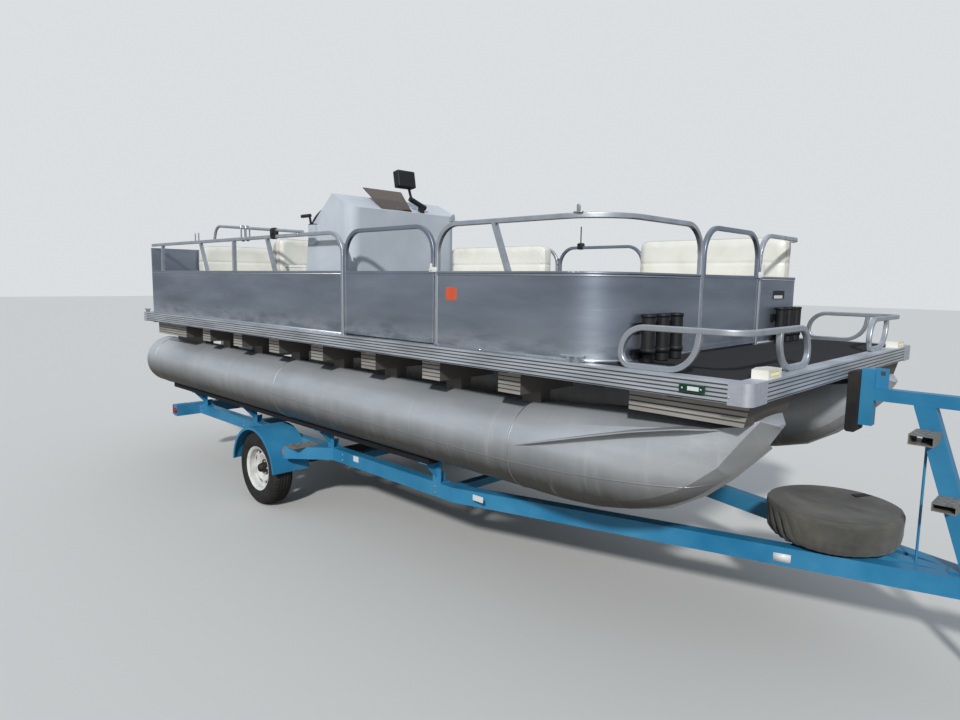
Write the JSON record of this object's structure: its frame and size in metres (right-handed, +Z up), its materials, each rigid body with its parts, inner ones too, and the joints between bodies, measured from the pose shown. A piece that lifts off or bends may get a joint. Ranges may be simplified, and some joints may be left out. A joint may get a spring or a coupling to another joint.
{
  "type": "pontoon deck boat on trailer",
  "caption": "Flat-decked aluminium pontoon boat with fence walls, gates, helm console, benches and outboard, parked on a blue bunk trailer with fenders, winch stand, jack and covered spare.",
  "frame": {"origin": "on the floor below the middle of the whole, on the centreline", "axes": "+X towards the bow, +Y to port, +Z up"},
  "size_m": [8.14, 2.47, 2.6006],
  "materials": {
    "brushed_skin": "brushed sheet, weathered",
    "bright_tube": "drawn tube, satin",
    "pontoon_skin": "rolled sheet, dull",
    "riser_extrusion": "weathered extrusion",
    "deck_carpet": "short dark carpet",
    "black_plastic": "moulded",
    "lamp_plastic": "moulded housing and lens",
    "console_shell": "moulded",
    "tinted_sheet": "tinted acrylic",
    "cream_vinyl": "vinyl over foam",
    "bench_shell": "moulded",
    "motor_paint": "gloss dark paint",
    "blue_paint": "gloss blue paint, chalked",
    "dark_steel": "oiled steel",
    "rubber_tyre": "rubber",
    "white_rim": "white paint",
    "bunk_carpet": "dark carpet over timber",
    "black_rubber": "moulded",
    "galvanised": "zinc",
    "red_lens": "moulded lens",
    "cover_cloth": "coated cloth"
  },
  "bodies": {
    "boat_on_trailer": {"pontoon_starboard": "pontoon_skin", "pontoon_port": "pontoon_skin", "spray_fins": "pontoon_skin", "risers_starboard": "riser_extrusion", "risers_port": "riser_extrusion", "cross_members": "riser_extrusion", "deck": "deck_carpet", "deck_rails": "brushed_skin", "corner_caps": "bright_tube", "side_fences": "brushed_skin", "bow_fences": "brushed_skin", "stern_fence": "brushed_skin", "top_rails_starboard": "bright_tube", "top_rails_port": "bright_tube", "grab_rails_starboard": "bright_tube", "grab_rails_port": "bright_tube", "rod_holders_starboard": "black_plastic", "rod_holders_port": "black_plastic", "bow_lights": "lamp_plastic", "cleats": "bright_tube", "console": "console_shell", "windscreen": "tinted_sheet", "display": "black_plastic", "chair_pedestal": "bright_tube", "bench_bases": "bench_shell", "bench_cushions": "cream_vinyl", "motor_pod": "pontoon_skin", "outboard_clamp": "motor_paint", "trailer_frame": "blue_paint", "tail_lamps": "red_lens", "fenders": "blue_paint", "axle": "dark_steel", "leaf_springs": "dark_steel", "bunks": "bunk_carpet", "bunk_posts": "blue_paint", "winch_stand": "blue_paint", "bow_stop": "black_rubber", "boarding_steps": "blue_paint", "winch": "galvanised", "coupler": "galvanised", "jack": "galvanised", "spare_wheel": "rubber_tyre", "spare_cover": "cover_cloth"},
    "starboard_gate": {"gate_starboard": "brushed_skin"},
    "port_gate": {"gate_port": "brushed_skin"},
    "bow_gate": {"gate_bow": "brushed_skin"},
    "helm_wheel": {"steering_wheel": "black_plastic"},
    "helm_chair": {"chair_seat": "bench_shell", "chair_cushions": "cream_vinyl"},
    "motor_swivel": {"outboard_swivel": "motor_paint"},
    "motor": {"outboard_leg": "motor_paint", "outboard_cowl": "motor_paint"},
    "screw": {"propeller": "motor_paint"},
    "starboard_road_wheel": {"tyre_starboard": "rubber_tyre", "wheel_starboard": "white_rim"},
    "port_road_wheel": {"tyre_port": "rubber_tyre", "wheel_port": "white_rim"},
    "winch_drum": {"winch_crank": "galvanised"},
    "jack_inner": {"jack_leg": "galvanised"},
    "jack_caster": {"jack_wheel": "black_rubber"}
  },
  "joints": [
    {"name": "starboard_gate_swing", "type": "hinge", "parent": "boat_on_trailer", "child": "starboard_gate", "pos_m": [0.288, -1.1629, 1.79], "axis": [0, 0, 1], "range_deg": [0, 90]},
    {"name": "port_gate_swing", "type": "hinge", "parent": "boat_on_trailer", "child": "port_gate", "pos_m": [0.174, 1.1629, 1.79], "axis": [0, 0, -1], "range_deg": [0, 90]},
    {"name": "bow_gate_swing", "type": "hinge", "parent": "boat_on_trailer", "child": "bow_gate", "pos_m": [2.2648, -0.334, 1.79], "axis": [0, 0, 1], "range_deg": [0, 90]},
    {"name": "helm_turn", "type": "hinge", "parent": "boat_on_trailer", "child": "helm_wheel", "pos_m": [-0.39, -0.82, 2.245], "axis": [-0.8192, 0, 0.5736], "range_deg": [-540, 540]},
    {"name": "chair_swivel", "type": "hinge", "parent": "boat_on_trailer", "child": "helm_chair", "pos_m": [-0.81, -0.72, 1.82], "axis": [0, 0, 1], "range_deg": [-90, 90]},
    {"name": "motor_tilt", "type": "hinge", "parent": "boat_on_trailer", "child": "motor_swivel", "pos_m": [-3.61, 0, 1.334], "axis": [0, 1, 0], "range_deg": [0, 40]},
    {"name": "motor_steer", "type": "hinge", "parent": "motor_swivel", "child": "motor", "pos_m": [-3.685, 0, 1.15], "axis": [0, 0, 1], "range_deg": [-30, 30]},
    {"name": "screw_spin", "type": "hinge", "parent": "motor", "child": "screw", "pos_m": [-3.972, 0, 0.655], "axis": [1, 0, 0], "continuous": true},
    {"name": "starboard_wheel_spin", "type": "hinge", "parent": "boat_on_trailer", "child": "starboard_road_wheel", "pos_m": [-1.07, -1.0275, 0.3035], "axis": [0, 1, 0], "continuous": true},
    {"name": "port_wheel_spin", "type": "hinge", "parent": "boat_on_trailer", "child": "port_road_wheel", "pos_m": [-1.07, 1.0275, 0.3035], "axis": [0, 1, 0], "continuous": true},
    {"name": "winch_turn", "type": "hinge", "parent": "boat_on_trailer", "child": "winch_drum", "pos_m": [3.528, 0, 1.425], "axis": [0, 1, 0], "continuous": true},
    {"name": "jack_slide", "type": "slide", "parent": "boat_on_trailer", "child": "jack_inner", "axis": [0, 0, 1], "range_m": [0, 0.095]},
    {"name": "jack_wheel_spin", "type": "hinge", "parent": "jack_inner", "child": "jack_caster", "pos_m": [3.74, -0.086, 0.075], "axis": [0, 1, 0], "continuous": true}
  ],
  "couplings": [
    {"joint": "helm_turn", "follows": "motor_steer", "ratio": -18}
  ]
}
